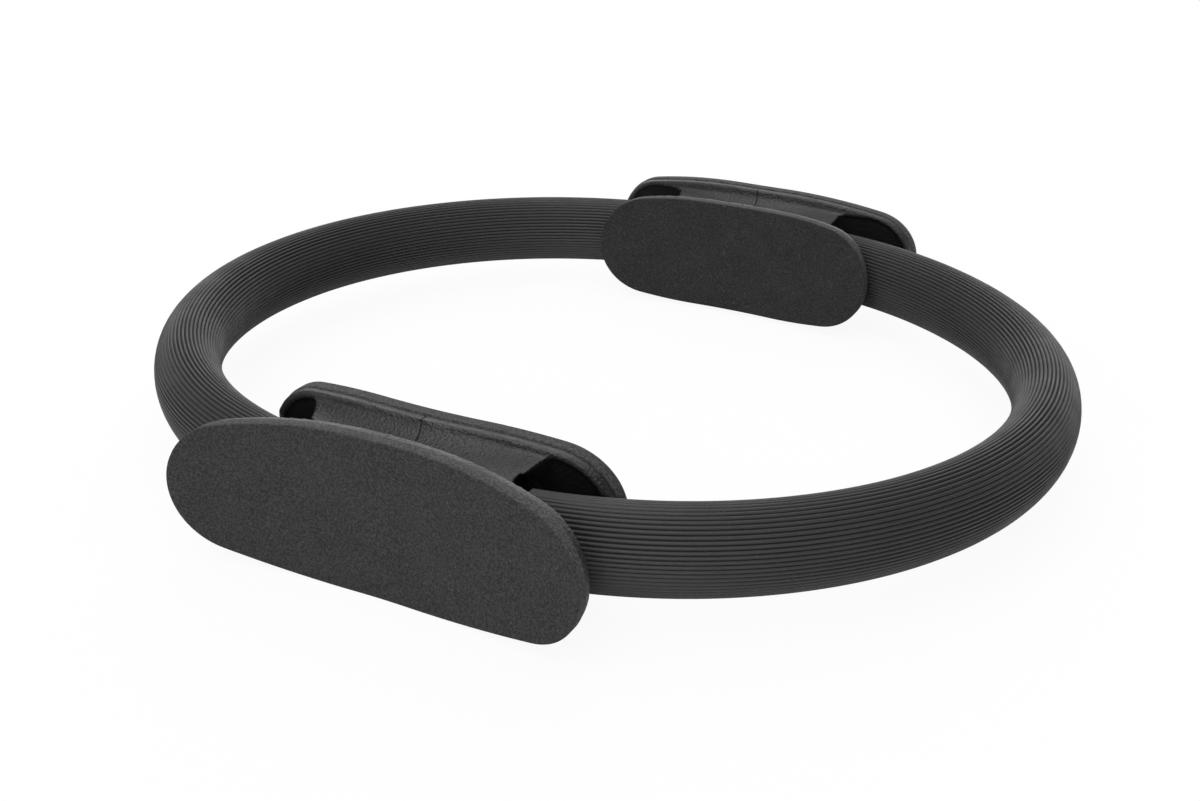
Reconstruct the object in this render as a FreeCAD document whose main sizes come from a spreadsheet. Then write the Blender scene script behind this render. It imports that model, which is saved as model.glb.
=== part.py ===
import FreeCAD, Part
import math
import os

from FreeCAD import Rotation, Vector

# Pilates ring lying flat: two padded handles joined by two sprung half hoops in ribbed foam sleeves.
# Millimetres and degrees. +Z is up, the floor is z = 0, and the middle of the ring is the origin.
# The front handle is at -Y and the rear one at +Y. "Reach" is measured from the band's middle line.

DOCUMENT = FreeCAD.newDocument("pilates_ring")
SHEET = DOCUMENT.addObject("Spreadsheet::Sheet", "Sizes")

# Driving dimensions
SIZES = [
    ("arc_radius", 159.0, "Radius of each half hoop at the middle of its band"),
    ("arc_offset", 19.5, "Sideways distance from the ring's middle to the centre of a half hoop"),
    ("band_thickness", 2.6, "Thickness of the glass fibre band"),
    ("band_height", 20.0, "Height of the band"),
    ("band_clearance", 0.2, "Clearance round the band in its slots and bores"),
    ("band_tip", 3.0, "Distance of a band's tip from the middle of a handle"),
    ("sleeve_thickness", 26.4, "Thickness of a foam sleeve over its ribs"),
    ("sleeve_height", 32.8, "Height of a foam sleeve over its ribs"),
    ("rib_count", 56, "Lengthwise ribs round a sleeve"),
    ("rib_depth", 0.7, "Depth of the grooves between the ribs"),
    ("sleeve_start", 9.5, "Sideways distance from the neck's end to a sleeve's cut end"),
    ("flex_angle", 22.0, "Angle from the side of the ring to a flex line of its sleeve"),
    ("flex_gap", 2.2, "Width of a flex line at the band"),
    ("crown_gap", 0.3, "Width of the parting at the side of the ring"),
    ("outer_length", 160.5, "Length of an outer pad"),
    ("outer_height", 59.0, "Height of an outer pad"),
    ("outer_flat", 20.0, "Straight stretch of an outer pad's long edges"),
    ("outer_end", 5.2, "Step from half an outer pad's height to the radius of its ends"),
    ("outer_hollow", 295.0, "Radius of an outer pad's hollow face"),
    ("outer_reach", 14.0, "Reach of an outer pad's face at its middle"),
    ("outer_foam", 5.0, "Thickness of an outer pad's foam"),
    ("inner_length", 141.0, "Length of an inner pad"),
    ("inner_height", 54.4, "Height of an inner pad"),
    ("inner_flat", 40.0, "Straight stretch of an inner pad's long edges"),
    ("inner_end", 1.9, "Step from half an inner pad's height to the radius of its ends"),
    ("inner_hollow", 285.0, "Radius of an inner pad's hollow face"),
    ("inner_reach", 22.0, "Reach of an inner pad's face at its middle"),
    ("inner_foam", 5.0, "Thickness of an inner pad's foam"),
    ("pad_round", 1.6, "Rounding of a pad's front edge"),
    ("glue_gap", 0.2, "Glue line between a pad and its shells"),
    ("shell_thickness", 3.6, "Thickness of a shell's flanges behind its pads"),
    ("shell_inset", 0.6, "Step from a pad's edge in to the shell's edge"),
    ("shell_seam", 0.3, "Seam between the left and right shells of a handle"),
    ("neck_length", 84.0, "Length, along the band, of the neck that joins a handle's two flanges"),
    ("neck_horn", 5.0, "Length by which the neck's hollow ends run on along the flanges"),
    ("neck_margin", 0.4, "Step from a flange's edge down to the neck's edge"),
    ("saddle_height", 38.0, "Height of the neck at the bottom of its saddles"),
    ("saddle_rise", 6.7, "Rise of a saddle from its bottom to the flanges, at the middle of a handle"),
    ("saddle_fade", 3.0, "The same rise past the neck's ends"),
    ("pocket_height", 44.0, "Height of the pocket between the flanges at a neck's end"),
    ("pocket_round", 28.0, "Radius of the neck's hollow end, seen from above"),
    ("pocket_rim", 2.6, "Width of the rim between a flange's end and its pocket"),
    ("pocket_wall", 2.0, "Thickness of a flange in its pocket"),
    ("socket_height", 41.0, "Height of the path that is kept clear for a sleeve"),
    ("socket_inner", 2.2, "Room on the ring's inner side of a sleeve"),
    ("socket_outer", 1.2, "Room on the ring's outer side of a sleeve"),
    ("plate_length", 84.0, "Length of a steel backing plate"),
    ("plate_height", 34.0, "Height of a backing plate"),
    ("plate_thickness", 1.5, "Thickness of a backing plate"),
    ("plate_clearance", 0.15, "Clearance round a backing plate in its recess"),
    ("screw_diameter", 4.0, "Shank diameter of a clamp screw"),
    ("screw_head", 7.0, "Head diameter of a clamp screw"),
    ("screw_clearance", 0.15, "Clearance round a clamp screw"),
    ("screw_near", 14.0, "Sideways place of the clamp screws near the seam"),
    ("screw_far", 34.0, "Sideways place of the clamp screws near the neck's end"),
]
for row, (alias, value, meaning) in enumerate(SIZES, start=1):
    SHEET.set("A%d" % row, meaning)
    SHEET.set("B%d" % row, str(value))
    SHEET.setAlias("B%d" % row, alias)
DOCUMENT.recompute()

UP = Vector(0, 0, 1)
OUTWARD = Vector(0, -1, 0)
SIDEWAYS = Vector(1, 0, 0)


def size(alias):
    """A driving dimension as a plain number."""
    return float(SHEET.get(alias))


def add(kind, name, **bindings):
    """A new object of the document, with its properties bound to the sheet."""
    item = DOCUMENT.addObject(kind, name)
    for prop, expression in bindings.items():
        item.setExpression(prop, expression)
    return item


def place(item, x="0", y="0", z="0", rotation=None):
    """Bind an object's place to the sheet and turn it."""
    if rotation:
        item.Placement = FreeCAD.Placement(Vector(), rotation)
    item.setExpression("Placement.Base.x", x)
    item.setExpression("Placement.Base.y", y)
    item.setExpression("Placement.Base.z", z)
    return item


def cut(name, base, tool):
    item = add("Part::Cut", name)
    item.Base = base
    item.Tool = tool
    return item


def common(name, base, tool):
    item = add("Part::Common", name)
    item.Base = base
    item.Tool = tool
    return item


def fuse(name, shapes):
    item = add("Part::MultiFuse", name)
    item.Shapes = shapes
    return item


def mirrored(name, source, normal):
    """The same piece on the other side of the ring."""
    item = add("Part::Mirroring", name)
    item.Source = source
    item.Base = Vector()
    item.Normal = normal
    return item


MIDDLE = "Sizes.outer_height / 2"
FRONT = "-Sizes.arc_radius"
# Signs that carry a front handle's reach along Y: outer pads point at -Y, inner pads at +Y.
SIGN = {"outer": "-", "inner": "+"}


def hollow_axis(kind):
    """Y of the upright axis that a front pad's hollow face turns about."""
    return "%s %s (Sizes.%s_reach + Sizes.%s_hollow)" % (FRONT, SIGN[kind], kind, kind)


def seat_radius(kind):
    """Radius of the shell's face that the foam is glued to."""
    return "Sizes.%s_hollow + Sizes.%s_foam + Sizes.glue_gap" % (kind, kind)


def upright_cylinder(name, kind, radius):
    """Cylinder about a pad's hollow axis, taller than the ring."""
    item = add("Part::Cylinder", name, Radius=radius, Height="3 * Sizes.outer_height")
    return place(item, y=hollow_axis(kind), z="-Sizes.outer_height")


def layer(name, kind, near, far):
    """Curved layer of a front handle between two distances from a pad's hollow axis."""
    outside = upright_cylinder(name + "_outside", kind, far)
    inside = upright_cylinder(name + "_inside", kind, near)
    return cut(name, outside, inside)


def oval_face(length, height, flat, end_radius):
    """Pad outline in the XZ plane: straight long edges, shoulder arcs and round ends."""
    half_height = height / 2
    half_flat = flat / 2
    end_centre = length / 2 - end_radius
    run = end_centre - half_flat
    shoulder = (run ** 2 + half_height ** 2 - end_radius ** 2) / (2 * (half_height - end_radius))
    drop = shoulder - half_height
    lean = math.atan2(run, drop)
    meet = (end_centre + end_radius * math.sin(lean), end_radius * math.cos(lean))
    bulge = (half_flat + shoulder * math.sin(lean / 2), shoulder * math.cos(lean / 2) - drop)

    def point(x, z):
        return Vector(x, 0, z)

    def arc(start, middle, end):
        return Part.Arc(point(*start), point(*middle), point(*end)).toShape()

    edges = []
    for top in (1, -1):
        edges.append(Part.makeLine(point(-half_flat, top * half_height), point(half_flat, top * half_height)))
        for side in (1, -1):
            start = (side * half_flat, top * half_height)
            middle = (side * bulge[0], top * bulge[1])
            edges.append(arc(start, middle, (side * meet[0], top * meet[1])))
    for side in (1, -1):
        tip = (side * length / 2, 0)
        edges.append(arc((side * meet[0], meet[1]), tip, (side * meet[0], -meet[1])))
    return Part.Face(Part.Wire(Part.__sortEdges__(edges)))


def oval_bar(name, kind, inset):
    """Pad outline drawn out along Y, from the band towards the pad's face and past it."""
    outline = add("Part::Feature", name + "_outline")
    half_height = size(kind + "_height") / 2 - inset
    outline.Shape = oval_face(
        size(kind + "_length") - 2 * inset,
        2 * half_height,
        size(kind + "_flat"),
        half_height - size(kind + "_end"),
    )
    place(outline, y=FRONT, z=MIDDLE)
    bar = add("Part::Extrusion", name, LengthFwd="Sizes.%s_reach + Sizes.%s_length / 4" % (kind, kind))
    bar.Base = outline
    bar.DirMode = "Custom"
    bar.Dir = OUTWARD if kind == "outer" else -OUTWARD
    bar.Solid = True
    return bar


def foam_pad(kind):
    """Foam pad of the front handle, hollow across its face and rounded along its front edge."""
    name = "front_%s_pad" % kind
    hollow = "Sizes.%s_hollow" % kind
    foam = layer(name + "_layer", kind, hollow, "%s + Sizes.%s_foam" % (hollow, kind))
    sharp = common(name + "_sharp", oval_bar(name + "_bar", kind, 0), foam)
    DOCUMENT.recompute()
    face_edges = []
    for face in sharp.Shape.Faces:
        surface = face.Surface
        if isinstance(surface, Part.Cylinder) and abs(surface.Radius - size(kind + "_hollow")) < 0.01:
            face_edges.extend(edge.hashCode() for edge in face.Edges)
    rounding = size("pad_round")
    item = add("Part::Fillet", name)
    item.Base = sharp
    item.Edges = [
        (number, rounding, rounding)
        for number, edge in enumerate(sharp.Shape.Edges, start=1)
        if edge.hashCode() in face_edges
    ]
    return item


def backing_plate(name, kind, clearance):
    """Curved steel plate let into the shells behind a foam pad, or the recess that takes it."""
    room = "%s * Sizes.plate_clearance" % clearance
    block = add(
        "Part::Box",
        name + "_block",
        Length="Sizes.plate_length + 2 * %s" % room,
        Width="Sizes.%s_reach + Sizes.plate_length / 4" % kind,
        Height="Sizes.plate_height + 2 * %s" % room,
    )
    place(
        block,
        x="-Sizes.plate_length / 2 - %s" % room,
        y=FRONT if kind == "inner" else "%s - Sizes.outer_reach - Sizes.plate_length / 4" % FRONT,
        z="%s - Sizes.plate_height / 2 - %s" % (MIDDLE, room),
    )
    back = "%s + Sizes.plate_thickness + %s" % (seat_radius(kind), room)
    sheet = layer(name + "_sheet", kind, seat_radius(kind), back)
    return common(name + "_bare", block, sheet)


def seat_reach(kind, x):
    """Reach of the shell's seat behind a pad, at a sideways place."""
    return "(Sizes.%s_reach + Sizes.%s_hollow - sqrt((%s)^2 - (%s)^2))" % (kind, kind, seat_radius(kind), x)


def clamp_screw(name, x, side, clearance):
    """Countersunk screw from the inner plate through shell and band to the outer plate, or its hole."""
    room = "%s * Sizes.screw_clearance" % clearance
    shank_radius = "(Sizes.screw_diameter / 2 + %s)" % room
    head_radius = "(Sizes.screw_head / 2 + %s)" % room
    head_top = seat_reach("inner", "%s - Sizes.screw_head / 2" % x)
    tip = seat_reach("outer", "%s - Sizes.screw_diameter / 2" % x)
    sideways = "%d * %s" % (side, x)
    shank = add("Part::Cylinder", name + "_shank", Radius=shank_radius, Height="%s + %s" % (head_top, tip))
    head = add(
        "Part::Cone",
        name + "_head",
        Radius1=head_radius,
        Radius2=shank_radius,
        Height="(Sizes.screw_head - Sizes.screw_diameter) / 2",
    )
    outward = Rotation(SIDEWAYS, 90)
    for piece in (shank, head):
        place(piece, sideways, "%s + %s" % (FRONT, head_top), MIDDLE, outward)
    return fuse(name, [shank, head])


def screw_set(name, clearance):
    """The four clamp screws of the front handle, or their holes."""
    return [
        clamp_screw("%s_%s_%d" % (name, place_name, side + 1), "Sizes.screw_" + place_name, side, clearance)
        for place_name in ("near", "far")
        for side in (-1, 1)
    ]


def half_hoop(name, clearance):
    """Right band: two straight tips in the handles and a half circle between them, or its slot."""
    room = "%s * Sizes.band_clearance" % clearance
    thick = "(Sizes.band_thickness + 2 * %s)" % room
    tall = "(Sizes.band_height + 2 * %s)" % room
    bottom = "%s - %s / 2" % (MIDDLE, tall)
    section = add("Part::Plane", name + "_section", Length=thick, Width=tall)
    section_turn = Rotation(OUTWARD, UP, -SIDEWAYS)
    place(section, "Sizes.arc_offset", "%s + %s / 2" % (FRONT, thick), bottom, section_turn)
    bend = add("Part::Revolution", name + "_bend")
    bend.Source = section
    bend.Axis = UP
    bend.setExpression("Base.x", "Sizes.arc_offset")
    bend.Angle = 180
    tips = []
    for end, sign in (("front", "-"), ("rear", "")):
        tip = add(
            "Part::Box",
            "%s_%s_tip" % (name, end),
            Length="Sizes.arc_offset - Sizes.band_tip + %s" % room,
            Width=thick,
            Height=tall,
        )
        place(tip, "Sizes.band_tip - %s" % room, "%sSizes.arc_radius - %s / 2" % (sign, thick), bottom)
        tips.append(tip)
    return fuse(name + "_blank", [bend] + tips)


def arc_place(radius, angle, height):
    """Point at a radius and angle about the right half hoop's centre; angle 0 is the ring's right side."""
    turn = math.radians(angle)
    return Vector(
        size("arc_offset") + radius * math.cos(turn),
        radius * math.sin(turn),
        size("outer_height") / 2 + height,
    )


def ribbed_section(angle):
    """Section of a sleeve: an oval of round, evenly wide ribs with the band's bore through it."""
    count = int(size("rib_count"))
    crest = (size("sleeve_thickness") / 2, size("sleeve_height") / 2)
    groove = (crest[0] - size("rib_depth"), crest[1] - size("rib_depth"))

    def on_oval(axes, share):
        turn = 2 * math.pi * share / count
        turn -= (axes[1] - axes[0]) / (axes[1] + axes[0]) / 2 * math.sin(2 * turn)
        return arc_place(size("arc_radius") + axes[0] * math.cos(turn), angle, axes[1] * math.sin(turn))

    ribs = [
        Part.Arc(on_oval(groove, rib), on_oval(crest, rib + 0.5), on_oval(groove, rib + 1)).toShape()
        for rib in range(count)
    ]
    half_thick = size("band_thickness") / 2 + size("band_clearance")
    half_tall = size("band_height") / 2 + size("band_clearance")
    corners = [
        arc_place(size("arc_radius") + side * half_thick, angle, top * half_tall)
        for side, top in ((1, 1), (-1, 1), (-1, -1), (1, -1), (1, 1))
    ]
    return Part.makeFace([Part.Wire(ribs), Part.makePolygon(corners)], "Part::FaceMakerBullseye")


def sleeve_span(name, start, end):
    """Length of the right sleeve between two angles about its half hoop's centre."""
    item = add("Part::Feature", name)
    item.Shape = ribbed_section(start).revolve(Vector(size("arc_offset"), 0, 0), UP, end - start)
    return item


def half_angle(gap):
    """Half of a gap along the band, as an angle about the half hoop's centre."""
    return math.degrees(gap / 2 / size("arc_radius"))


def angle_at(sideways):
    """Angle, about the right half hoop's centre, where the front band is this far sideways."""
    return math.degrees(math.asin((sideways - size("arc_offset")) / size("arc_radius"))) - 90


def seat_place(kind, x):
    """Reach of the shell's seat behind a pad, at a sideways place, as a plain number."""
    radius = size(kind + "_hollow") + size(kind + "_foam") + size("glue_gap")
    return size(kind + "_reach") + size(kind + "_hollow") - math.sqrt(radius ** 2 - x ** 2)


def saddle_cut(name, top):
    """Trough between the flanges across the top or bottom of the neck, deepest at the handle's middle."""
    middle = size("outer_height") / 2
    bottom = size("saddle_height") / 2
    far = size("outer_height")
    past_end = (size("neck_length") + size("pocket_round")) / 2

    def trough(x):
        fade = (1 - (x / past_end) ** 2) ** 2
        edge = bottom + size("saddle_fade") + (size("saddle_rise") - size("saddle_fade")) * fade
        outer_face = -size("arc_radius") - seat_place("outer", x)
        inner_face = -size("arc_radius") + seat_place("inner", x)
        outer_edge = outer_face + size("shell_thickness")
        inner_edge = inner_face - size("shell_thickness")

        def point(y, height):
            return Vector(x, y, middle + top * height)

        rim = [point(inner_edge, edge), point(inner_face, edge), point(inner_face, far)]
        rim += [point(outer_face, far), point(outer_face, edge), point(outer_edge, edge)]
        hollow = Part.Arc(rim[-1], point((outer_edge + inner_edge) / 2, bottom), rim[0]).toShape()
        return Part.Wire([hollow] + Part.makePolygon(rim).Edges)

    item = add("Part::Feature", name)
    item.Shape = Part.makeLoft([trough(share * past_end) for share in (-1, -0.5, 0, 0.5, 1)], True)
    return item


def pocket_cut(name):
    """Round-ended pocket between the flanges at the neck's right end, let into both of them."""
    halves = []
    tall = "Sizes.pocket_height"
    for kind in ("outer", "inner"):
        half_name = "%s_%s" % (name, kind)
        deep = "(Sizes.%s_reach + Sizes.%s_length / 4)" % (kind, kind)
        rim = "Sizes.shell_inset + Sizes.pocket_rim"
        round_middle = "(Sizes.%s_length / 2 - (%s) - %s / 2)" % (kind, rim, tall)
        block = add("Part::Box", half_name + "_block", Length=round_middle, Width=deep, Height=tall)
        near_side = FRONT if kind == "inner" else "%s - %s" % (FRONT, deep)
        place(block, "0", near_side, "%s - %s / 2" % (MIDDLE, tall))
        drum = add("Part::Cylinder", half_name + "_drum", Radius="%s / 2" % tall, Height=deep)
        place(drum, round_middle, near_side, MIDDLE, Rotation(SIDEWAYS, -90))
        half = fuse(half_name + "_bar", [block, drum])
        wall = upright_cylinder(half_name + "_wall", kind, seat_radius(kind) + " + Sizes.pocket_wall")
        halves.append(cut(half_name, half, wall))
    end_height = "2 * Sizes.outer_height"
    hollow_end = add("Part::Cylinder", name + "_end", Radius="Sizes.pocket_round", Height=end_height)
    place(
        hollow_end,
        "Sizes.neck_length / 2 + Sizes.pocket_round",
        "-sqrt(Sizes.arc_radius^2 - (Sizes.neck_length / 2 - Sizes.arc_offset)^2)",
        "-Sizes.outer_height / 2",
    )
    return common(name, fuse(name + "_bars", halves), hollow_end)


def socket_cut(name):
    """Oval path that follows the right sleeve from the neck's end to the side of the ring."""
    start = angle_at(size("neck_length") / 2)
    section = add(
        "Part::Ellipse",
        name + "_section",
        MajorRadius="Sizes.socket_height / 2",
        MinorRadius="(Sizes.sleeve_thickness + Sizes.socket_inner + Sizes.socket_outer) / 2",
    )
    middle_radius = size("arc_radius") + (size("socket_outer") - size("socket_inner")) / 2
    turn = math.radians(start)
    radial = Vector(math.cos(turn), math.sin(turn), 0)
    section.Placement = FreeCAD.Placement(
        arc_place(middle_radius, start, 0), Rotation(UP, radial, UP.cross(radial))
    )
    item = add("Part::Revolution", name)
    item.Source = section
    item.Axis = UP
    item.setExpression("Base.x", "Sizes.arc_offset")
    item.Angle = -start
    item.Solid = True
    return item


def neck_block():
    """Neck between the seats of a front handle's two pads, with its saddles."""
    block = add(
        "Part::Box",
        "neck_box",
        Length="Sizes.neck_length + 2 * Sizes.neck_horn",
        Width="Sizes.outer_reach + Sizes.inner_reach + Sizes.neck_length / 2",
        Height="Sizes.inner_height - 2 * (Sizes.shell_inset + Sizes.neck_margin)",
    )
    place(
        block,
        "-Sizes.neck_length / 2 - Sizes.neck_horn",
        "%s - Sizes.outer_reach - Sizes.neck_length / 4" % FRONT,
        "%s - Sizes.inner_height / 2 + Sizes.shell_inset + Sizes.neck_margin" % MIDDLE,
    )
    neck = block
    for kind in ("outer", "inner"):
        seat = upright_cylinder("neck_%s_seat" % kind, kind, seat_radius(kind))
        neck = cut("neck_%s_trim" % kind, neck, seat)
    for side, top in (("top", 1), ("bottom", -1)):
        neck = cut("neck_%s_saddle" % side, neck, saddle_cut("saddle_" + side, top))
    return neck


def right_shell(name):
    """Right half of the front handle: two curved flanges, the neck between them, and what they take."""
    flanges = []
    for kind in ("outer", "inner"):
        flange_name = "shell_%s_flange" % kind
        wall = layer(
            flange_name + "_layer", kind, seat_radius(kind), seat_radius(kind) + " + Sizes.shell_thickness"
        )
        flanges.append(common(flange_name, oval_bar(flange_name + "_bar", kind, size("shell_inset")), wall))
    whole = fuse("shell_whole", flanges + [neck_block()])
    right_side = add(
        "Part::Box",
        "shell_right_side",
        Length="Sizes.outer_length",
        Width="2 * Sizes.arc_radius",
        Height="2 * Sizes.outer_height",
    )
    place(right_side, "Sizes.shell_seam / 2", "2 * " + FRONT, "-Sizes.outer_height / 2")
    tools = [pocket_cut("pocket"), socket_cut("socket"), half_hoop("slot", 1)]
    tools.extend(backing_plate("recess_" + kind, kind, 1) for kind in ("outer", "inner"))
    tools.extend(screw_set("shell_hole", 1))
    shell = common("shell_right_half", whole, right_side)
    for number, tool in enumerate(tools[:-1]):
        shell = cut("shell_cut_%d" % number, shell, tool)
    return cut(name, shell, tools[-1])


def drilled(name, blank, holes):
    """A blank with the clamp screws' holes through it."""
    return cut(name, blank, fuse(name + "_holes", holes))


# Front handle, right band and right sleeve
pieces = {"front_right_shell": right_shell("front_right_shell")}
for kind in ("outer", "inner"):
    pieces["front_%s_pad" % kind] = foam_pad(kind)
    plate_name = "front_%s_plate" % kind
    plate = backing_plate(plate_name, kind, 0)
    pieces[plate_name] = drilled(plate_name, plate, screw_set(plate_name + "_hole", 1))

screws = add("Part::Compound", "front_clamp_screws")
screws.Links = screw_set("screw", 0)
pieces["front_clamp_screws"] = screws

front_holes = screw_set("band_hole", 1)
rear_holes = [mirrored(hole.Name + "_rear", hole, OUTWARD) for hole in front_holes]
pieces["right_band"] = drilled("right_band", half_hoop("right_band", 0), front_holes + rear_holes)

flex_line = -size("flex_angle")
flex_half = half_angle(size("flex_gap"))
crown_half = half_angle(size("crown_gap"))
pieces["right_front_sleeve"] = sleeve_span(
    "right_front_sleeve", angle_at(size("neck_length") / 2 + size("sleeve_start")), flex_line - flex_half
)
pieces["right_front_crown"] = sleeve_span("right_front_crown", flex_line + flex_half, -crown_half)

# The other three quarters
OPPOSITE = {"right": "left", "front": "rear"}
MIRROR_NORMAL = {"right": SIDEWAYS, "front": OUTWARD}
for side in ("right", "front"):
    for name in [name for name in pieces if side in name]:
        twin = name.replace(side, OPPOSITE[side])
        pieces[twin] = mirrored(twin, pieces[name], MIRROR_NORMAL[side])

DOCUMENT.recompute()
for item in DOCUMENT.Objects:
    if "Invalid" in item.State or "Error" in item.State:
        raise RuntimeError("%s failed: %s" % (item.Name, item.State))

os.makedirs("parts", exist_ok=True)
for name, item in sorted(pieces.items()):
    item.Label = name
    solids = item.Shape.Solids
    expected = len(screws.Links) if "screws" in name else 1
    if item.Shape.isNull() or not item.Shape.isValid() or len(solids) != expected:
        raise RuntimeError("%s has %d solids and valid is %s" % (name, len(solids), item.Shape.isValid()))
for name, item in sorted(pieces.items()):
    item.Shape.exportStep("parts/%s.step" % name)
    box = item.Shape.BoundBox
    print("%-20s volume %9.1f  x %7.1f %7.1f  y %7.1f %7.1f  z %5.1f %5.1f" % (
        name, item.Shape.Volume, box.XMin, box.XMax, box.YMin, box.YMax, box.ZMin, box.ZMax))
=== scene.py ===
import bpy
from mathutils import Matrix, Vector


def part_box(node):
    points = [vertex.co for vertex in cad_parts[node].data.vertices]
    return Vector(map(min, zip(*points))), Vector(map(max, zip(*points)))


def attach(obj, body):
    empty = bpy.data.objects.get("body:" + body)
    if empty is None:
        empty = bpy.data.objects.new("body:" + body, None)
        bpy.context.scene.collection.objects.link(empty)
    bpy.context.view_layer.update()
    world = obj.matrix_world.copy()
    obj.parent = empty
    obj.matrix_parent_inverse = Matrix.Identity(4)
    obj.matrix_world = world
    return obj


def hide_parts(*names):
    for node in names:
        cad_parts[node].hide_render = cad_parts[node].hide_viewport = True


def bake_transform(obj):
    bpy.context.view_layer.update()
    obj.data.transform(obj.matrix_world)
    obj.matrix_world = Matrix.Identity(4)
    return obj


bl_info = {
    "name": "Pilates ring",
    "version": (1, 0, 0),
    "blender": (4, 5, 0),
    "location": "View3D > Sidebar > Pilates Ring",
    "description": "Builds the foam, plastic and studio of a pilates ring round its packed frame",
    "category": "Object",
}

import math

import bmesh
import bpy
from mathutils import Matrix, Quaternion, Vector

# The frame is in metres: +Z up, the floor at z = 0, the front handle at -Y, the ring round the origin.
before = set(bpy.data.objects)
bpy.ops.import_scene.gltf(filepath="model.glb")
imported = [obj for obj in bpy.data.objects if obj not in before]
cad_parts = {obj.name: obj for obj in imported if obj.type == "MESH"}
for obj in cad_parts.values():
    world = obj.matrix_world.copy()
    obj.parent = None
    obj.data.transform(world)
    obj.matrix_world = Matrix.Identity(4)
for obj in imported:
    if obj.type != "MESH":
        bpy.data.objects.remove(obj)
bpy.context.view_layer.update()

# Signs along X of the sides, and along Y of the ends and of the ways that the front handle's pads face
SIDES = {"left": -1, "right": 1}
ENDS = {"front": -1, "rear": 1}
PAD_KINDS = {"outer": -1, "inner": 1}
UP = Vector((0, 0, 1))
MERGE_DISTANCE = 1e-6


def span_of(node, axis):
    """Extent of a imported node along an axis."""
    low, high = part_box(node)
    return high[axis] - low[axis]


def middle_of(node, axis):
    """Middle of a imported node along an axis."""
    low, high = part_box(node)
    return (high[axis] + low[axis]) / 2


# Properties that a user may change

def metres(name, description, default):
    return bpy.props.FloatProperty(
        name=name, description=description, default=default, min=0.0, precision=4, unit="LENGTH"
    )


def turn(name, description, degrees):
    return bpy.props.FloatProperty(
        name=name, description=description, default=math.radians(degrees), subtype="ANGLE"
    )


def count(name, description, default):
    return bpy.props.IntProperty(name=name, description=description, default=default, min=1)


def amount(name, description, default):
    return bpy.props.FloatProperty(name=name, description=description, default=default, min=0.0)


def colour(name, description, grey, tint=(1.0, 1.0, 1.0)):
    """A grey with a slight tint, in linear light."""
    default = (*(grey * channel for channel in tint), 1.0)
    return bpy.props.FloatVectorProperty(
        name=name, description=description, default=default, size=4, min=0.0, max=1.0, subtype="COLOR"
    )


class PILATES_PG_hoop(bpy.types.PropertyGroup):
    """Half hoops: the sprung bands and the ribbed foam sleeves over them"""

    radius: metres("Radius", "Radius of each half hoop at the middle of its band", 0.159)
    offset: metres("Offset", "Distance from the ring's middle to a half hoop's centre", 0.0195)
    middle: metres("Middle", "Height of the bands' middle over the floor", middle_of("right_band", 2))
    thickness: metres("Sleeve thickness", "Thickness of a sleeve over its ribs", 0.0264)
    height: metres("Sleeve height", "Height of a sleeve over its ribs", 0.0328)
    hinge: metres("Hinge", "Sideways distance from a handle's middle to where a sleeve turns", 0.0515)
    start: metres("Sleeve start", "Sideways distance from a handle's middle to a sleeve's cut end", 0.0475)
    ribs: count("Ribs", "Lengthwise ribs round a sleeve", 56)
    rib_points: count("Points per rib", "Points that draw one rib", 8)
    rib_depth: metres("Rib depth", "Depth of the grooves between the ribs", 0.0007)
    band_thickness: metres("Band thickness", "Thickness of a band", 0.0026)
    band_height: metres("Band height", "Height of a band", span_of("right_band", 2))
    band_room: metres("Band room", "Clearance round a band in its sleeve", 0.0002)
    band_tip: metres("Band tip", "From a handle's middle to a band's tip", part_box("right_band")[0].x)
    neck_end: metres("Neck end", "Sideways distance from a handle's middle to where its neck ends", 0.046)
    flex: turn("Flex angle", "Angle from the ring's side to the middle of a sleeve's flexing stretch", 22)
    split: turn("Split angle", "Angle from the ring's side to where two spans of a sleeve meet", 50)
    step: turn("Step", "Angle between two sections of a sleeve", 1.25)


class PILATES_PG_pad(bpy.types.PropertyGroup):
    """Foam pad with straight long edges, shoulder arcs, round ends and a hollow face"""

    flat: metres("Straight edge", "Straight stretch of the pad's long edges", 0.02)
    end: metres("End radius", "Radius of the pad's ends", 0.0243)
    hollow: metres("Hollow radius", "Radius of the pad's hollow face", 0.295)
    reach: metres("Reach", "Distance from the band's middle line to the middle of the pad's face", 0.014)
    foam: metres("Foam", "Thickness of the pad's foam", 0.005)
    rounding: metres("Rounding", "Rounding of the pad's front edge", 0.001)
    back_rounding: metres("Back rounding", "Rounding of the pad's glued edge", 0.0001)
    support: metres("Support", "Ring of flat foam next to the rounding", 0.0008)
    strip: metres("Strip", "Width of the strips that bend the pad to its hollow", 0.003)


class PILATES_PG_shell(bpy.types.PropertyGroup):
    """Moulded shells, softened along their edges"""

    grid: metres("Grid", "Size of the even faces that a shell's skin is drawn with", 0.00055)
    passes: count("Passes", "How often the edges are smoothed", 7)
    seam_band: metres("Seam band", "Stretch beside the seam whose edges stay crisp", 0.0012)
    glue_band: metres("Glue band", "Depth under a pad's back in which the edges stay crisp", 0.0014)
    pocket_wall: metres("Pocket wall", "Depth of a pocket's floor under a pad's back", 0.0022)
    end_reach: metres("End reach", "Sideways reach of the slanted end of a neck", 0.006)


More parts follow.
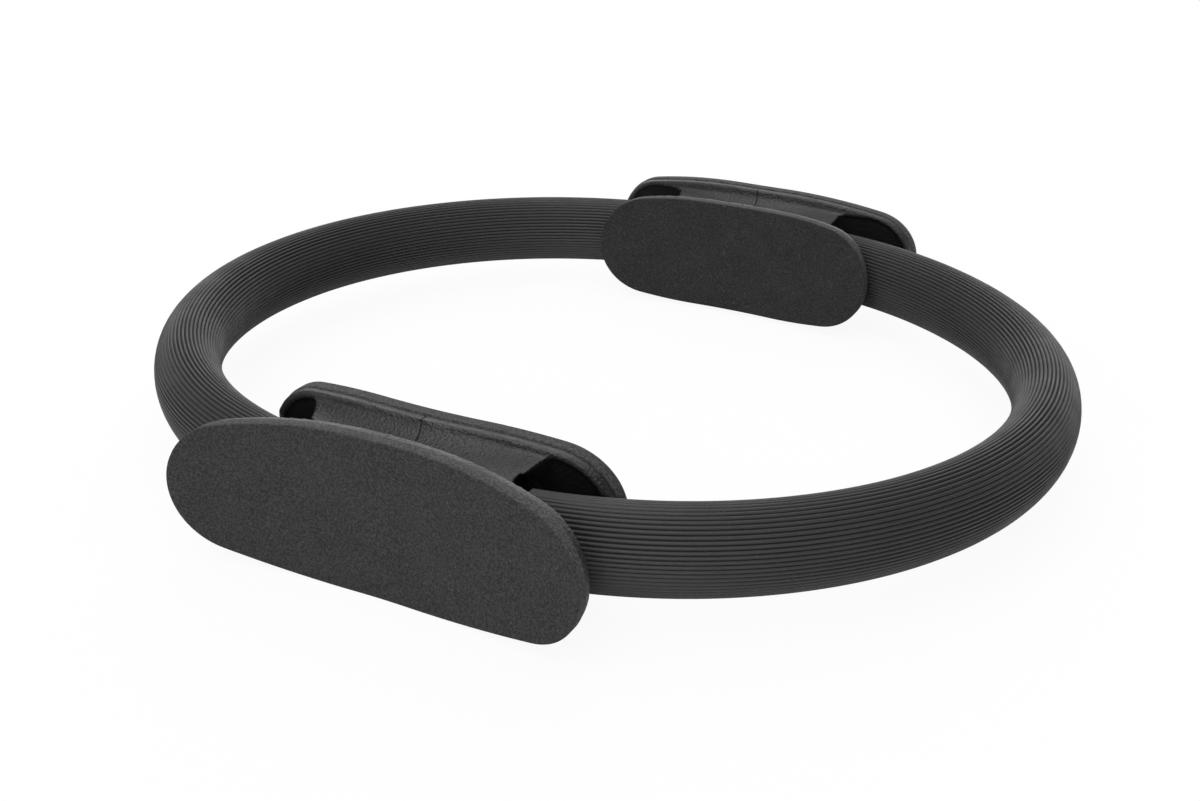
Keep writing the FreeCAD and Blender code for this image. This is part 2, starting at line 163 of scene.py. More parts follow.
class PILATES_PG_finish(bpy.types.PropertyGroup):
    """Colours of the ring's materials"""

    # The inner pads' skin is darker than the outer pads': painted shade for the inner pads, which face
    # into the ring
    outer_pad: colour("Outer pad foam", "Skin of the outer pads", 0.027, (1.0, 1.0, 1.04))
    inner_pad: colour("Inner pad foam", "Skin of the inner pads", 0.018, (1.0, 1.0, 1.04))
    pad_speck: colour("Pad specks", "Fine pale specks in the pads' skin", 0.13)
    pad_cut: colour("Pad cut edge", "Cut edges of the pads", 0.066)
    # Painted light and shade on the sleeves: the grooves' colour is darker and the crests' paler
    sleeve: colour("Sleeve foam", "Grooves of the ribbed sleeves", 0.016)
    sleeve_crest_light: colour("Sleeve crest", "Crests of the sleeves' ribs", 0.03)
    sleeve_cut: colour("Sleeve cut end", "Cut ends of the sleeves", 0.03)
    plastic: colour("Shell plastic", "Moulded plastic of the handles' shells", 0.022, (1.0, 1.0, 1.04))
    plastic_dust: colour("Shell dust", "Fine specks on the shells", 0.06)
    # Painted shade: a darker colour for the shells' pocket floors and neck ends, where shade falls
    plastic_painted_shade: colour("Shell pockets", "Dull pocket floors and neck ends of the shells", 0.006)
    fibre: colour("Band fibre", "Resin of the bands", 0.035, (1.0, 0.98, 0.9))
    fibre_streak: colour("Band streak", "Fibres that show in the bands", 0.09, (1.0, 0.97, 0.88))
    steel: colour("Steel", "Backing plates and clamp screws", 0.5, (1.0, 1.0, 1.03))
    steel_dark: colour("Steel, dark", "Brushed lines in the steel", 0.33, (1.0, 1.0, 1.03))
    floor: colour("Floor", "Studio floor", 0.93)


class PILATES_PG_lamp(bpy.types.PropertyGroup):
    """Large soft lamp, far from the ring"""

    strength: amount("Strength", "Strength of the lamp", 1.2)
    azimuth: turn("Azimuth", "Turn of the lamp round the ring, from the front to the right", 0)
    elevation: turn("Elevation", "Angle of the lamp over the horizon", 85)
    spread: turn("Spread", "Width of the lamp, as seen from the ring", 70)


class PILATES_PG_studio(bpy.types.PropertyGroup):
    """Camera, floor and even light"""

    azimuth: turn("Azimuth", "Turn of the camera round the ring, from the front to the right", 26.2)
    elevation: turn("Elevation", "Angle of the camera over the horizon", 24.28)
    roll: turn("Roll", "Roll of the camera", 1.511)
    distance: metres("Distance", "Distance from the camera to the point that it looks at", 0.57906)
    target: bpy.props.FloatVectorProperty(
        name="Target", description="Point that the camera looks at", default=(0.01917, -0.04909, 0.0295),
        subtype="TRANSLATION", unit="LENGTH",
    )
    lens: amount("Lens", "Focal length in millimetres on a sensor 36 mm wide", 44.354)
    sky: amount("Sky", "Strength of the even light from all round", 0.06)
    floor_size: metres("Floor size", "Side of the studio floor", 24.0)
    floor_lift: amount("Floor lift", "Share of plain white in the floor, which softens its shadows", 0.93)


class PILATES_PG_ring(bpy.types.PropertyGroup):
    """All settings of the ring"""

    hoop: bpy.props.PointerProperty(type=PILATES_PG_hoop)
    outer: bpy.props.PointerProperty(type=PILATES_PG_pad)
    inner: bpy.props.PointerProperty(type=PILATES_PG_pad)
    shell: bpy.props.PointerProperty(type=PILATES_PG_shell)
    finish: bpy.props.PointerProperty(type=PILATES_PG_finish)
    overhead_lamp: bpy.props.PointerProperty(type=PILATES_PG_lamp)
    front_lamp: bpy.props.PointerProperty(type=PILATES_PG_lamp)
    back_lamp: bpy.props.PointerProperty(type=PILATES_PG_lamp)
    studio: bpy.props.PointerProperty(type=PILATES_PG_studio)


# What differs from the defaults, group by group
OTHER_VALUES = {
    "inner": {"flat": 0.04, "end": 0.0253, "hollow": 0.285, "reach": 0.022, "foam": 0.005},
    "front_lamp": {"strength": 2.1, "azimuth": math.radians(-5), "elevation": math.radians(35)},
    "back_lamp": {"strength": 1.6, "azimuth": math.radians(-160), "elevation": math.radians(28)},
}


# Shader building blocks

def add_node(tree, kind, inputs=None, **settings):
    """New node with its settings, and with a value or a link for each input that is named."""
    made = tree.nodes.new(kind)
    for setting, value in settings.items():
        setattr(made, setting, value)
    for socket, value in (inputs or {}).items():
        if isinstance(value, bpy.types.NodeSocket):
            tree.links.new(value, made.inputs[socket])
        else:
            made.inputs[socket].default_value = value
    return made


def math_node(tree, operation, first, second):
    """Result of an operation on two values."""
    return add_node(tree, "ShaderNodeMath", {0: first, 1: second}, operation=operation).outputs[0]


def ramp(tree, value, low, high, start=0.0, end=1.0):
    """A value taken from one range to another, and kept inside it."""
    inputs = {"Value": value, "From Min": low, "From Max": high, "To Min": start, "To Max": end}
    return add_node(tree, "ShaderNodeMapRange", inputs, interpolation_type="SMOOTHSTEP").outputs["Result"]


def mix_colours(tree, share, first, second):
    """The second colour over the first, as strong as the share says."""
    return add_node(tree, "ShaderNodeMix", {0: share, 6: first, 7: second}, data_type="RGBA").outputs[2]


def noise_value(tree, vector, scale, detail=3.0, roughness=0.55):
    """Smooth noise from 0 to 1."""
    inputs = {"Vector": vector, "Scale": scale, "Detail": detail, "Roughness": roughness}
    return add_node(tree, "ShaderNodeTexNoise", inputs).outputs["Fac"]


def new_group(name, inputs, outputs):
    """Empty shader node group with its sockets, and its input and output nodes."""
    tree = bpy.data.node_groups.new(name, "ShaderNodeTree")
    for socket, default in inputs.items():
        kind = "NodeSocketVector" if default is None else "NodeSocketFloat"
        made = tree.interface.new_socket(socket, in_out="INPUT", socket_type=kind)
        if default is not None:
            made.default_value = default
    for socket in outputs:
        tree.interface.new_socket(socket, in_out="OUTPUT", socket_type="NodeSocketFloat")
    return tree, tree.nodes.new("NodeGroupInput"), tree.nodes.new("NodeGroupOutput")


def foam_cells_group():
    """Cells of closed foam: pores for a bump, fine grain, pale specks, and soft patches."""
    inputs = {"Vector": None, "Cells per metre": 1500.0, "Speck share": 0.2}
    tree, given, result = new_group("Foam cells", inputs, ("Height", "Grain", "Specks", "Patches"))
    vector = given.outputs["Vector"]
    scale = given.outputs["Cells per metre"]
    pores = add_node(tree, "ShaderNodeTexVoronoi", {"Vector": vector, "Scale": scale})
    grain = noise_value(tree, vector, scale, detail=4.0, roughness=0.65)
    height = math_node(tree, "ADD", pores.outputs["Distance"], grain)
    specks = add_node(
        tree, "ShaderNodeTexVoronoi", {"Vector": vector, "Scale": math_node(tree, "MULTIPLY", scale, 0.6)}
    )
    near = ramp(tree, specks.outputs["Distance"], 0.1, 0.4, 1.0, 0.0)
    pick = add_node(tree, "ShaderNodeSeparateColor", {"Color": specks.outputs["Color"]}).outputs["Red"]
    chosen = math_node(tree, "LESS_THAN", pick, given.outputs["Speck share"])
    tree.links.new(height, result.inputs["Height"])
    tree.links.new(grain, result.inputs["Grain"])
    tree.links.new(math_node(tree, "MULTIPLY", near, chosen), result.inputs["Specks"])
    tree.links.new(noise_value(tree, vector, 70.0, detail=4.0), result.inputs["Patches"])
    return tree


def moulded_skin_group():
    """Skin of moulded plastic: orange peel for a bump, uneven gloss, and fine dust."""
    inputs = {"Vector": None, "Peel per metre": 700.0, "Dust share": 0.05}
    tree, given, result = new_group("Moulded skin", inputs, ("Height", "Gloss", "Dust"))
    vector = given.outputs["Vector"]
    scale = given.outputs["Peel per metre"]
    peel = noise_value(tree, vector, scale, detail=2.0, roughness=0.6)
    tree.links.new(peel, result.inputs["Height"])
    tree.links.new(noise_value(tree, vector, 55.0, detail=5.0, roughness=0.6), result.inputs["Gloss"])
    dust = add_node(tree, "ShaderNodeTexVoronoi", {"Vector": vector, "Scale": scale})
    near = ramp(tree, dust.outputs["Distance"], 0.10, 0.26, 1.0, 0.0)
    pick = add_node(tree, "ShaderNodeSeparateColor", {"Color": dust.outputs["Color"]}).outputs["Green"]
    chosen = math_node(tree, "LESS_THAN", pick, given.outputs["Dust share"])
    tree.links.new(math_node(tree, "MULTIPLY", near, chosen), result.inputs["Dust"])
    return tree


def drawn_lines_group():
    """Fine lines that run round the ring, as drawn fibres and brushed steel have."""
    tree, given, result = new_group("Drawn lines", {"Vector": None, "Lines per metre": 3000.0}, ("Lines",))
    along = add_node(tree, "ShaderNodeSeparateXYZ", {"Vector": given.outputs["Vector"]})
    drawn = add_node(tree, "ShaderNodeCombineXYZ", {
        "X": math_node(tree, "MULTIPLY", along.outputs["X"], 20.0),
        "Y": math_node(tree, "MULTIPLY", along.outputs["Y"], 20.0),
        "Z": math_node(tree, "MULTIPLY", along.outputs["Z"], given.outputs["Lines per metre"]),
    })
    tree.links.new(noise_value(tree, drawn.outputs["Vector"], 1.0, detail=4.0), result.inputs["Lines"])
    return tree


def shared_group(name, build):
    """A shader node group that is built once."""
    return bpy.data.node_groups.get(name) or build()


def new_material(name):
    """Material with a principled shader; its tree, shader and object coordinates."""
    material = bpy.data.materials.new(name)
    material.use_nodes = True
    tree = material.node_tree
    shader = tree.nodes["Principled BSDF"]
    coordinates = add_node(tree, "ShaderNodeTexCoord").outputs["Object"]
    return material, tree, shader, coordinates


def place_group(tree, name, build, vector, **values):
    """A shared group in a material, with its own values."""
    placed = add_node(tree, "ShaderNodeGroup", node_tree=shared_group(name, build))
    tree.links.new(vector, placed.inputs["Vector"])
    for socket, value in values.items():
        placed.inputs[socket.replace("_", " ").capitalize()].default_value = value
    return placed.outputs


def attribute(tree, name):
    """A number that the piece's mesh carries."""
    return add_node(tree, "ShaderNodeAttribute", attribute_name=name).outputs["Fac"]


def bump(tree, shader, height, distance, strength):
    """Fine relief on a shader's surface."""
    inputs = {"Height": height, "Distance": distance, "Strength": strength}
    normal = add_node(tree, "ShaderNodeBump", inputs).outputs["Normal"]
    tree.links.new(normal, shader.inputs["Normal"])


def settings():
    """The ring's settings in the open scene."""
    return bpy.context.scene.pilates_ring


# Shares of a pad's colour in the dark and the pale cells of its foam
DARK_CELL = 0.6
PALE_CELL = 1.55


def shade(tone, share):
    """A colour made darker or paler."""
    return (*(share * channel for channel in tone[:3]), 1.0)


def pad_foam_material(kind):
    """Fine-celled, mottled foam with a few pale specks; its cut edges are paler."""
    finish = settings().finish
    material, tree, shader, coordinates = new_material(kind + " pad foam")
    cells = place_group(
        tree, "Foam cells", foam_cells_group, coordinates, cells_per_metre=1200.0, speck_share=0.12
    )
    grain = ramp(tree, cells["Grain"], 0.36, 0.64)
    cut = attribute(tree, "cut")
    tones = []
    for cell in (DARK_CELL, PALE_CELL):
        # Each kind of pad takes its own skin; the inner pads' darker skin is painted shade
        skin = shade(getattr(finish, kind + "_pad"), cell)
        tones.append(mix_colours(tree, cut, skin, shade(finish.pad_cut, cell)))
    mottled = mix_colours(tree, grain, *tones)
    specks = math_node(tree, "MULTIPLY", cells["Specks"], 0.25)
    specked = mix_colours(tree, specks, mottled, finish.pad_speck)
    tree.links.new(specked, shader.inputs["Base Color"])
    tree.links.new(ramp(tree, cells["Patches"], 0.3, 0.7, 0.78, 0.9), shader.inputs["Roughness"])
    shader.inputs["Specular IOR Level"].default_value = 0.3
    bump(tree, shader, cells["Height"], 0.0003, 0.55)
    return material


def sleeve_foam_material():
    """Ribbed rubber foam: dull, with painted light on the crests and painted shade in the grooves,
    open-celled on its cut ends.
    """
    finish = settings().finish
    material, tree, shader, coordinates = new_material("sleeve foam")
    cells = place_group(
        tree, "Foam cells", foam_cells_group, coordinates, cells_per_metre=2200.0, speck_share=0.05
    )
    # Painted light on the crests and painted shade in the grooves, uneven over soft patches
    patches = ramp(tree, cells["Patches"], 0.3, 0.7, 0.75, 1.0)
    crest = math_node(tree, "MULTIPLY", attribute(tree, "crest"), patches)
    rib_light_and_shade = mix_colours(tree, crest, finish.sleeve, finish.sleeve_crest_light)
    ended = mix_colours(tree, attribute(tree, "cut"), rib_light_and_shade, finish.sleeve_cut)
    specks = math_node(tree, "MULTIPLY", cells["Specks"], 0.35)
    specked = mix_colours(tree, specks, ended, finish.pad_speck)
    tree.links.new(specked, shader.inputs["Base Color"])
    tree.links.new(ramp(tree, cells["Patches"], 0.3, 0.7, 0.46, 0.58), shader.inputs["Roughness"])
    shader.inputs["Specular IOR Level"].default_value = 0.45
    bump(tree, shader, cells["Height"], 0.00015, 0.35)
    return material


def shell_plastic_material():
    """Black moulded plastic with orange peel, uneven gloss and fine dust, with painted shade in its
    pockets and on its neck ends.
    """
    finish = settings().finish
    material, tree, shader, coordinates = new_material("shell plastic")
    skin = place_group(
        tree, "Moulded skin", moulded_skin_group, coordinates, peel_per_metre=1000.0, dust_share=0.12
    )
    dusted = mix_colours(tree, skin["Dust"], finish.plastic, finish.plastic_dust)
    # Painted shade: the pocket floors and neck ends are painted darker and given less specular reflection
    pocket = attribute(tree, "pocket")
    tree.links.new(mix_colours(tree, pocket, dusted, finish.plastic_painted_shade), shader.inputs["Base Color"])
    tree.links.new(ramp(tree, skin["Gloss"], 0.3, 0.7, 0.32, 0.48), shader.inputs["Roughness"])
    tree.links.new(ramp(tree, pocket, 0.0, 1.0, 0.55, 0.1), shader.inputs["Specular IOR Level"])
    bump(tree, shader, skin["Height"], 0.0007, 0.7)
    return material


def band_fibre_material():
    """Glass fibre strip: dark resin with lengthwise fibres under a satin skin."""
    finish = settings().finish
    material, tree, shader, coordinates = new_material("band fibre")
    drawn = place_group(tree, "Drawn lines", drawn_lines_group, coordinates, lines_per_metre=2500.0)
    lines = drawn["Lines"]
    streaks = ramp(tree, lines, 0.4, 0.75)
    streaked = mix_colours(tree, streaks, finish.fibre, finish.fibre_streak)
    tree.links.new(streaked, shader.inputs["Base Color"])
    tree.links.new(ramp(tree, lines, 0.3, 0.7, 0.35, 0.55), shader.inputs["Roughness"])
    bump(tree, shader, lines, 0.0001, 0.3)
    return material


def brushed_steel_material():
    """Plain steel with fine brushed lines."""
    finish = settings().finish
    material, tree, shader, coordinates = new_material("brushed steel")
    drawn = place_group(tree, "Drawn lines", drawn_lines_group, coordinates, lines_per_metre=6000.0)
    lines = drawn["Lines"]
    shares = ramp(tree, lines, 0.35, 0.7)
    brushed = mix_colours(tree, shares, finish.steel_dark, finish.steel)
    tree.links.new(brushed, shader.inputs["Base Color"])
    tree.links.new(ramp(tree, lines, 0.3, 0.7, 0.28, 0.45), shader.inputs["Roughness"])
    shader.inputs["Metallic"].default_value = 1.0
    bump(tree, shader, lines, 0.00005, 0.25)
    return material


# Modelling helpers

# Edges that fold further than this stay hard
HARD_EDGE = math.radians(38)


def make_piece(name, bm, material):
    """Object from a bmesh, in place, smooth but for its hard edges."""
    bmesh.ops.recalc_face_normals(bm, faces=bm.faces[:])
    for face in bm.faces:
        face.smooth = True
    for edge in bm.edges:
        edge.smooth = edge.calc_face_angle(0.0) < HARD_EDGE
    mesh = bpy.data.meshes.new(name)
    bm.to_mesh(mesh)
    bm.free()
    mesh.materials.append(material)
    piece = bpy.data.objects.new(name, mesh)
    bpy.context.scene.collection.objects.link(piece)
    return piece


def mirror_piece(bm, side, end):
    """Carry a piece made at the ring's right front to another quarter."""
    bmesh.ops.scale(bm, vec=(SIDES[side], -ENDS[end], 1), verts=bm.verts[:])


# Foam pads

def pad_outline(bm, pad, length, height):
    """Closed outline of a pad in the XZ plane, from a quarter that is drawn by turning a point."""
    half_height = height / 2
    end_centre = length / 2 - pad.end
    run = end_centre - pad.flat / 2
    shoulder = (run ** 2 + half_height ** 2 - pad.end ** 2) / (2 * (half_height - pad.end))
    lean = math.atan2(run, shoulder - half_height)
    middle = bm.verts.new((0, 0, half_height))
    corner = bm.verts.new((pad.flat / 2, 0, half_height))
    bm.edges.new((middle, corner))
    arcs = (
        ((pad.flat / 2, 0, half_height - shoulder), lean, 24),
        ((end_centre, 0, 0), math.pi / 2 - lean, 24),
    )
    for centre, sweep, steps in arcs:
        made = bmesh.ops.spin(
            bm, geom=[corner], cent=centre, axis=(0, 1, 0), angle=sweep, steps=steps, use_merge=False
        )
        corner = next(item for item in made["geom_last"] if isinstance(item, bmesh.types.BMVert))
    for axis in ("X", "Z"):
        bmesh.ops.mirror(bm, geom=bm.verts[:] + bm.edges[:], axis=axis, merge_dist=MERGE_DISTANCE)
    bmesh.ops.remove_doubles(bm, verts=bm.verts[:], dist=MERGE_DISTANCE)


def round_rim(bm, depth, offset, segments):
    """Round the rim of a slab that lies at a depth."""
    rim = [
        edge for edge in bm.edges
        if all(abs(vert.co.y - depth) < MERGE_DISTANCE for vert in edge.verts)
        and edge.calc_face_angle(0.0) > HARD_EDGE
    ]
    bmesh.ops.bevel(
        bm, geom=rim, offset=offset, segments=segments, profile=0.5, affect="EDGES", material=-1
    )


def foam_slab(pad, length, height):
    """Foam slab with a rounded front: its face at depth 0, its glued back at the foam's thickness."""
    bm = bmesh.new()
    pad_outline(bm, pad, length, height)
    face = bmesh.ops.contextual_create(bm, geom=bm.edges[:])["faces"][0]
    extruded = bmesh.ops.extrude_face_region(bm, geom=[face])
    back = [item for item in extruded["geom"] if isinstance(item, bmesh.types.BMVert)]
    bmesh.ops.translate(bm, vec=(0, pad.foam, 0), verts=back)
    bmesh.ops.recalc_face_normals(bm, faces=bm.faces[:])
    round_rim(bm, 0.0, pad.rounding, 5)
    round_rim(bm, pad.foam, pad.back_rounding, 2)
    front = max((face for face in bm.faces if face.normal.y < -0.99), key=lambda face: face.calc_area())
    bmesh.ops.inset_region(bm, faces=[front], thickness=pad.support, depth=0.0)
    strips = int(length / pad.strip)
    for strip in range(1, strips):
        place = length * (strip / strips - 0.5)
        bmesh.ops.bisect_plane(
            bm, geom=bm.verts[:] + bm.edges[:] + bm.faces[:], plane_co=(place, 0, 0), plane_no=(1, 0, 0)
        )
    return bm


def hollow_pad(bm, pad, outward, hoop):
    """Bend a slab to its hollow face and set it on the front handle, facing the outward way along Y."""
    axis = -hoop.radius + outward * (pad.reach + pad.hollow)
    cut = bm.verts.layers.float.new("cut")
    for vert in bm.verts:
        depth = vert.co.y
        vert[cut] = min(1.0, max(0.0, (depth - pad.rounding / 4) / pad.rounding))
        bent = math.sqrt((pad.hollow + depth) ** 2 - vert.co.x ** 2)
        vert.co = Vector((vert.co.x, axis - outward * bent, hoop.middle + vert.co.z))


class PILATES_OT_foam_pads(bpy.types.Operator):
    """Model the four foam pads with their rounded fronts and hollow faces"""

    bl_idname = "pilates_ring.foam_pads"
    bl_label = "Foam pads"

    def execute(self, context):
        ring = settings()
        for kind, outward in PAD_KINDS.items():
            material = pad_foam_material(kind)
            pad = getattr(ring, kind)
            for end in ENDS:
                node = "%s_%s_pad" % (end, kind)
                bm = foam_slab(pad, span_of(node, 0), span_of(node, 2))
                hollow_pad(bm, pad, outward, ring.hoop)
                mirror_piece(bm, "right", end)
                piece = make_piece("%s_%s_foam" % (end, kind), bm, material)
                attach(piece, end + "_handle")
                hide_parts(node)
        return {"FINISHED"}


# Half hoops

# Below 1 the crests are broad and the grooves narrow
RIB_FULLNESS = 0.75


def rib_height(share):
    """Height of a rib, from 0 in its grooves to 1 on its crest, at a share of its width."""
    return math.sin(math.pi * share) ** RIB_FULLNESS


def ribbed_loop(bm, hoop):
    """Oval of evenly wide ribs round the band at the ring's right side, marked where the crests are."""
    crest = bm.verts.layers.float.get("crest") or bm.verts.layers.float.new("crest")
    made = bmesh.ops.create_circle(bm, segments=hoop.ribs * hoop.rib_points, radius=1.0)["verts"]
    squash = (hoop.height - hoop.thickness) / (hoop.height + hoop.thickness)
    for vert in made:
        angle = math.atan2(vert.co.y, vert.co.x)
        share = hoop.ribs * angle / (2 * math.pi)
        vert[crest] = rib_height(share - math.floor(share))
        drop = hoop.rib_depth * (1 - vert[crest])
        even = angle - squash / 2 * math.sin(2 * angle)
        sideways = (hoop.thickness / 2 - drop) * math.cos(even)
        upwards = (hoop.height / 2 - drop) * math.sin(even)
        vert.co = Vector((hoop.offset + hoop.radius + sideways, 0, hoop.middle + upwards))
    return made


def band_loop(bm, hoop, room):
    """Rectangle round the band at the ring's right side."""
    made = bmesh.ops.create_grid(bm, x_segments=1, y_segments=1, size=1.0)["verts"]
    filled = list({face for vert in made for face in vert.link_faces})
    bmesh.ops.delete(bm, geom=filled, context="FACES_ONLY")
    for vert in made:
        sideways = vert.co.x * (hoop.band_thickness / 2 + room)
        upwards = vert.co.y * (hoop.band_height / 2 + room)
        vert.co = Vector((hoop.offset + hoop.radius + sideways, 0, hoop.middle + upwards))
    return made


def loop_edges(verts):
    """Edges that join two of these vertices."""
    found = set(verts)
    touching = {edge for vert in verts for edge in vert.link_edges}
    return [edge for edge in touching if set(edge.verts) <= found]


def sweep_loop(bm, verts, hoop, start, end):
    """Turn a loop from one angle to another round the right half hoop's centre; the end's vertices."""
    centre = (hoop.offset, 0, 0)
    bmesh.ops.rotate(bm, cent=centre, matrix=Matrix.Rotation(start, 3, "Z"), verts=verts)
    made = bmesh.ops.spin(
        bm, geom=verts + loop_edges(verts), cent=centre, axis=UP, angle=end - start,
        steps=math.ceil(abs(end - start) / hoop.step), use_merge=False,
    )
    return [item for item in made["geom_last"] if isinstance(item, bmesh.types.BMVert)]


def sleeve_span(hoop, start, end):
    """Ribbed tube between two angles, with the band's bore through it and foam cells on its ends."""
    bm = bmesh.new()
    outside = ribbed_loop(bm, hoop)
    inside = band_loop(bm, hoop, hoop.band_room)
    loops = [(outside, inside)]
    loops.append((sweep_loop(bm, outside, hoop, start, end), sweep_loop(bm, inside, hoop, start, end)))
    cut = bm.faces.layers.float.new("cut")
    for outer, inner in loops:
        capped = bmesh.ops.bridge_loops(bm, edges=loop_edges(outer) + loop_edges(inner))
        for face in capped["faces"]:
            face[cut] = 1.0
    return bm


def start_angle(hoop):
    """Angle, about the right half hoop's centre, of a front sleeve's cut end."""
    return math.asin((hoop.start - hoop.offset) / hoop.radius) - math.pi / 2


def bend_span(piece, hoop, side, end, upper):
    """Bake a span's place into its mesh, the same for the lower and the upper span."""

    def corner(x, y):
        return (SIDES[side] * x, -ENDS[end] * y, hoop.middle)

    if upper:
        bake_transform(piece)
    else:
        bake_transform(piece)


class PILATES_OT_sleeves(bpy.types.Operator):
    """Model the two ribbed foam sleeves, each in four spans"""

    bl_idname = "pilates_ring.sleeves"
    bl_label = "Ribbed sleeves"

    def execute(self, context):
        hoop = settings().hoop
        material = sleeve_foam_material()
        spans = {"sleeve": (start_angle(hoop), -hoop.split), "crown": (-hoop.split, 0.0)}
        for side in SIDES:
            for end in ENDS:
                for name, (start, stop) in spans.items():
                    bm = sleeve_span(hoop, start, stop)
                    mirror_piece(bm, side, end)
                    piece = make_piece("%s_%s_%s_foam" % (side, end, name), bm, material)
                    bend_span(piece, hoop, side, end, name == "crown")
                    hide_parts("%s_%s_%s" % (side, end, name))
        return {"FINISHED"}


def band_span(hoop, start, end):
    """Length of the band between two angles, with its straight tip where it starts in a handle."""
    bm = bmesh.new()
    first = band_loop(bm, hoop, 0.0)
    last = sweep_loop(bm, first, hoop, start, end)
    if start <= -math.pi / 2:
        made = bmesh.ops.extrude_edge_only(bm, edges=loop_edges(first))
        first = [item for item in made["geom"] if isinstance(item, bmesh.types.BMVert)]
        bmesh.ops.translate(bm, vec=(hoop.band_tip - hoop.offset, 0, 0), verts=first)
    for loop in (first, last):
        bmesh.ops.contextual_create(bm, geom=loop_edges(loop))
    return bm


class PILATES_OT_bands(bpy.types.Operator):
    """Model the two glass fibre bands, each in four spans"""

    bl_idname = "pilates_ring.bands"
    bl_label = "Bands"

    def execute(self, context):
        hoop = settings().hoop
        material = band_fibre_material()
        spans = {"tip": (-math.pi / 2, -hoop.split), "crown": (-hoop.split, 0.0)}
        for side in SIDES:
            for end in ENDS:
                for name, (start, stop) in spans.items():
                    bm = band_span(hoop, start, stop)
                    mirror_piece(bm, side, end)
                    piece = make_piece("%s_%s_band_%s" % (side, end, name), bm, material)
                    bend_span(piece, hoop, side, end, name == "crown")
                    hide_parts(side + "_band")
        return {"FINISHED"}


# Handles

def finish_nodes(ending, material):
    """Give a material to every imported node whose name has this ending."""
    for name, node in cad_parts.items():
        if name.endswith(ending):
            node.data.materials.clear()
            node.data.materials.append(material)


def even_skin(piece, grid):
    """Redraw a closed piece with even faces; the result as a bmesh."""
    remesh = piece.modifiers.new("Even skin", "REMESH")
    remesh.mode = "VOXEL"
    remesh.voxel_size = grid
    evaluated = piece.evaluated_get(bpy.context.evaluated_depsgraph_get())
    bm = bmesh.new()
    bm.from_mesh(evaluated.data)
    return bm


def depth_under_pads(place):
    """Distance from a place in a handle to the back of the nearer pad."""
    ring = settings()
    depths = []
    for kind, outward in PAD_KINDS.items():
        pad = getattr(ring, kind)
        axis = -ring.hoop.radius + outward * (pad.reach + pad.hollow)
        depths.append(abs(math.hypot(place.x, abs(place.y) + axis) - pad.hollow - pad.foam))
    return min(depths)


def soften_edges(bm, shell):
    """Round a skin's edges, apart from those beside the handle's seam and under the pads."""
    free = [
        vert for vert in bm.verts
        if abs(vert.co.x) > shell.seam_band and depth_under_pads(vert.co) > shell.glue_band
    ]
    for _ in range(shell.passes):
        bmesh.ops.smooth_vert(
            bm, verts=free, factor=0.5, use_axis_x=True, use_axis_y=True, use_axis_z=True
        )


def close_seam(bm, shell):
    """Draw a skin's end up to the handle's middle, so that two shells meet at a fine line."""
    for vert in bm.verts:
        share = abs(vert.co.x) / shell.seam_band
        vert.co.x *= min(1.0, share)


# Share of a surface's normal along an axis from which it counts as facing that way
FACING = 0.5


def mark_painted_shade(bm, shell):
    """Mark where painted shade goes: the floors of a shell's pockets, which lie level under the pads, and
    its neck's end.
    """
    pocket = bm.verts.layers.float.new("pocket")
    neck_end = settings().hoop.neck_end
    bm.normal_update()
    for vert in bm.verts:
        level = abs(depth_under_pads(vert.co) - shell.pocket_wall) < shell.grid
        floor = level and abs(vert.normal.y) > FACING
        beside = abs(abs(vert.co.x) - neck_end) < shell.end_reach
        end = beside and abs(vert.normal.x) > FACING
        vert[pocket] = float(floor or end)


def soft_shell(node, shell, material):
    """Copy of a packed shell with the rounded edges of a moulding."""
    bm = bmesh.new()
    bm.from_mesh(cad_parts[node].data)
    bmesh.ops.remove_doubles(bm, verts=bm.verts[:], dist=MERGE_DISTANCE)
    sharp = make_piece(node + "_sharp", bm, material)
    bm = even_skin(sharp, shell.grid)
    bpy.data.objects.remove(sharp)
    soften_edges(bm, shell)
    close_seam(bm, shell)
    mark_painted_shade(bm, shell)
    return make_piece(node + "_moulding", bm, material)


class PILATES_OT_shells(bpy.types.Operator):
    """Model the moulded shells of both handles with softened edges"""

    bl_idname = "pilates_ring.shells"
    bl_label = "Shells"

    def execute(self, context):
        material = shell_plastic_material()
        for end in ENDS:
            for side in SIDES:
                node = "%s_%s_shell" % (end, side)
                piece = soft_shell(node, settings().shell, material)
                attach(piece, end + "_handle")
                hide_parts(node)
        return {"FINISHED"}


class PILATES_OT_hardware(bpy.types.Operator):
    """Finish the steel plates and clamp screws inside the handles"""

    bl_idname = "pilates_ring.hardware"
    bl_label = "Plates and screws"

    def execute(self, context):
        material = brushed_steel_material()
        for ending in ("_plate", "_screws"):
            finish_nodes(ending, material)
        return {"FINISHED"}


# Studio

def floor_material():
    """White floor that keeps soft shadows, lifted towards plain white where the camera sees it."""
    ring = settings()
    material = bpy.data.materials.new("studio floor")
    material.use_nodes = True
    tree = material.node_tree
    tree.nodes.remove(tree.nodes["Principled BSDF"])
    matte = add_node(tree, "ShaderNodeBsdfDiffuse", {"Color": ring.finish.floor})
    white = add_node(tree, "ShaderNodeEmission")
    seen = add_node(tree, "ShaderNodeLightPath").outputs["Is Camera Ray"]
    share = math_node(tree, "MULTIPLY", seen, ring.studio.floor_lift)
    mixed = add_node(tree, "ShaderNodeMixShader", {0: share, 1: matte.outputs[0], 2: white.outputs[0]})
    tree.links.new(mixed.outputs[0], tree.nodes["Material Output"].inputs["Surface"])
    return material


def add_floor(studio):
    """Wide flat floor under the ring."""
    bm = bmesh.new()
    bmesh.ops.create_grid(bm, x_segments=1, y_segments=1, size=studio.floor_size / 2)
    floor = make_piece("studio_floor", bm, floor_material())


